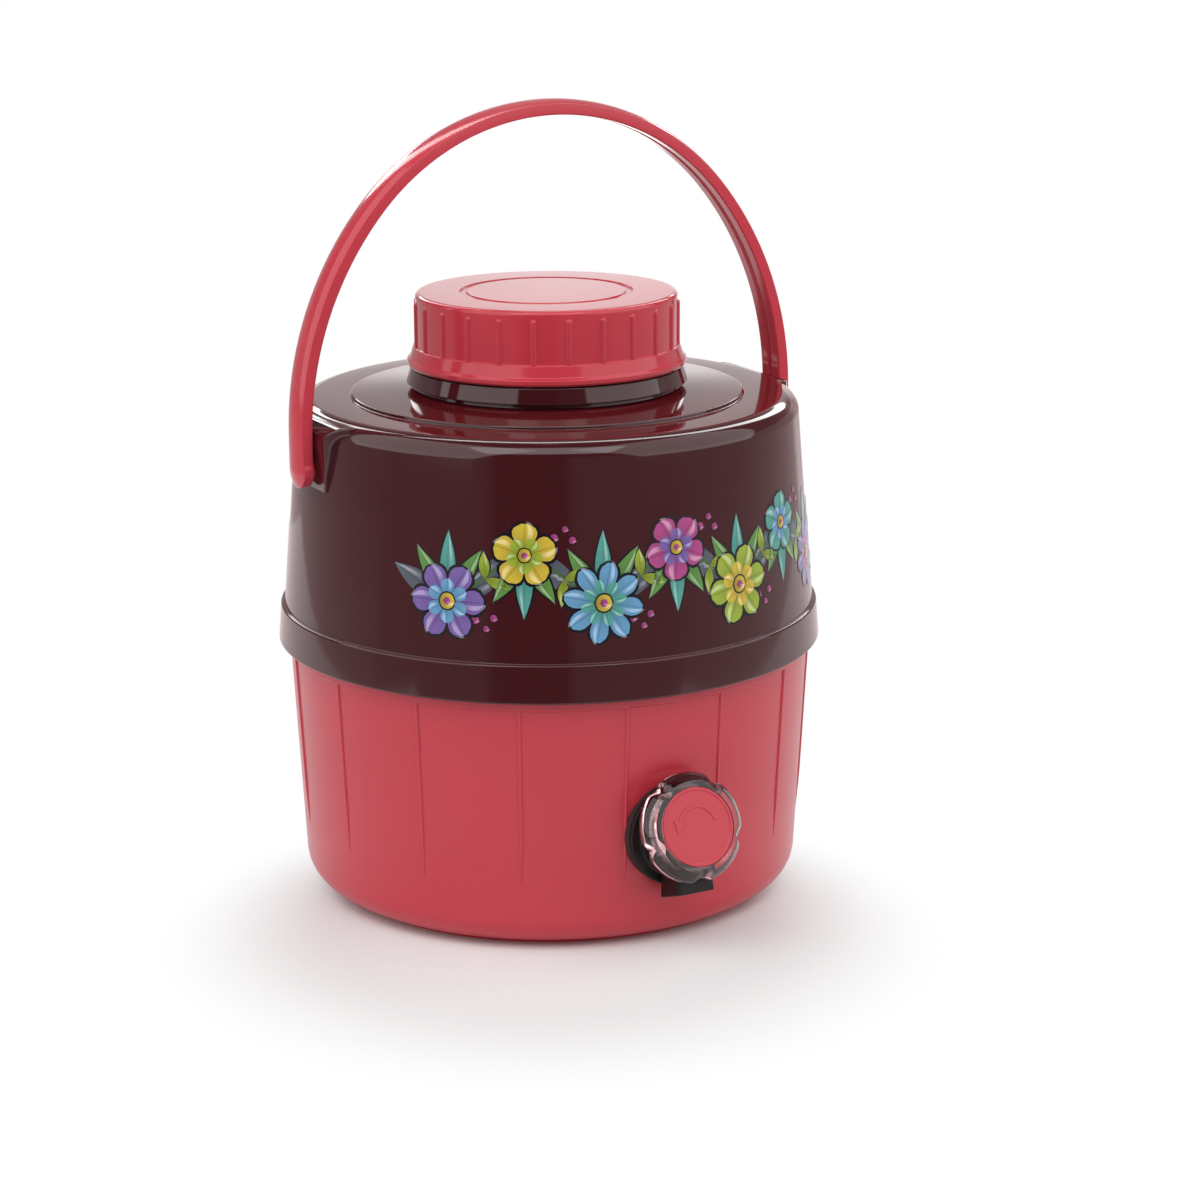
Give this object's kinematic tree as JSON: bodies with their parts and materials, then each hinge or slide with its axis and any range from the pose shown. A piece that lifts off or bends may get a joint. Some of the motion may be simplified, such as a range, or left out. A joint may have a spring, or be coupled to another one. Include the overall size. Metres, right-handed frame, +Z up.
{
  "type": "insulated water jug",
  "caption": "Insulated drink jug with a screw lid, a swinging bail handle and a quarter-turn tap low on the front.",
  "frame": {"origin": "centre of the foot ring's plane, on the jug's axis", "axes": "+Z up along the jug's axis; the tap faces -Y; the handle turns about a line along X"},
  "size_m": [0.2402, 0.2578, 0.3433],
  "materials": {
    "pink_plastic": "satin",
    "maroon_plastic": "gloss",
    "white_plastic": "satin",
    "black_plastic": "satin",
    "clear_plastic": "gloss",
    "foam": "matte",
    "rubber": "matte",
    "steel": "satin"
  },
  "bodies": {
    "jug": {"lower_shell": "pink_plastic", "upper_shell": "maroon_plastic", "inner_vessel": "white_plastic", "foam_core": "foam", "base_plug": "pink_plastic", "neck_seal": "rubber", "tap_body": "black_plastic", "tap_washer": "rubber", "outlet_sleeve": "white_plastic", "tap_inner_washer": "rubber", "tap_nut": "white_plastic", "gland_nut": "black_plastic"},
    "handle": {"handle": "pink_plastic"},
    "lid_seal": {"lid_gasket": "rubber"},
    "lid": {"lid_cap": "pink_plastic", "lid_liner": "white_plastic", "lid_foam": "foam"},
    "knob": {"valve_plug": "white_plastic", "plug_seals": "rubber", "knob": "clear_plastic", "knob_insert": "pink_plastic", "knob_screw": "steel"}
  },
  "joints": [
    {"name": "handle_swing", "type": "hinge", "parent": "jug", "child": "handle", "pos_m": [0, 0, 0.1955], "axis": [1, 0, 0], "range_deg": [-115, 115]},
    {"name": "lid_lift", "type": "slide", "parent": "jug", "child": "lid_seal", "axis": [0, 0, 1], "range_m": [0, 0.015]},
    {"name": "lid_turn", "type": "hinge", "parent": "lid_seal", "child": "lid", "pos_m": [0, 0, 0.24], "axis": [0, 0, 1], "range_deg": [0, 450]},
    {"name": "tap_turn", "type": "hinge", "parent": "jug", "child": "knob", "pos_m": [0, -0.11083, 0.0505], "axis": [0, -0.9397, 0.342], "range_deg": [0, 90]}
  ],
  "couplings": [
    {"joint": "lid_lift", "follows": "lid_turn", "m_per_rad": 0.0019099}
  ]
}
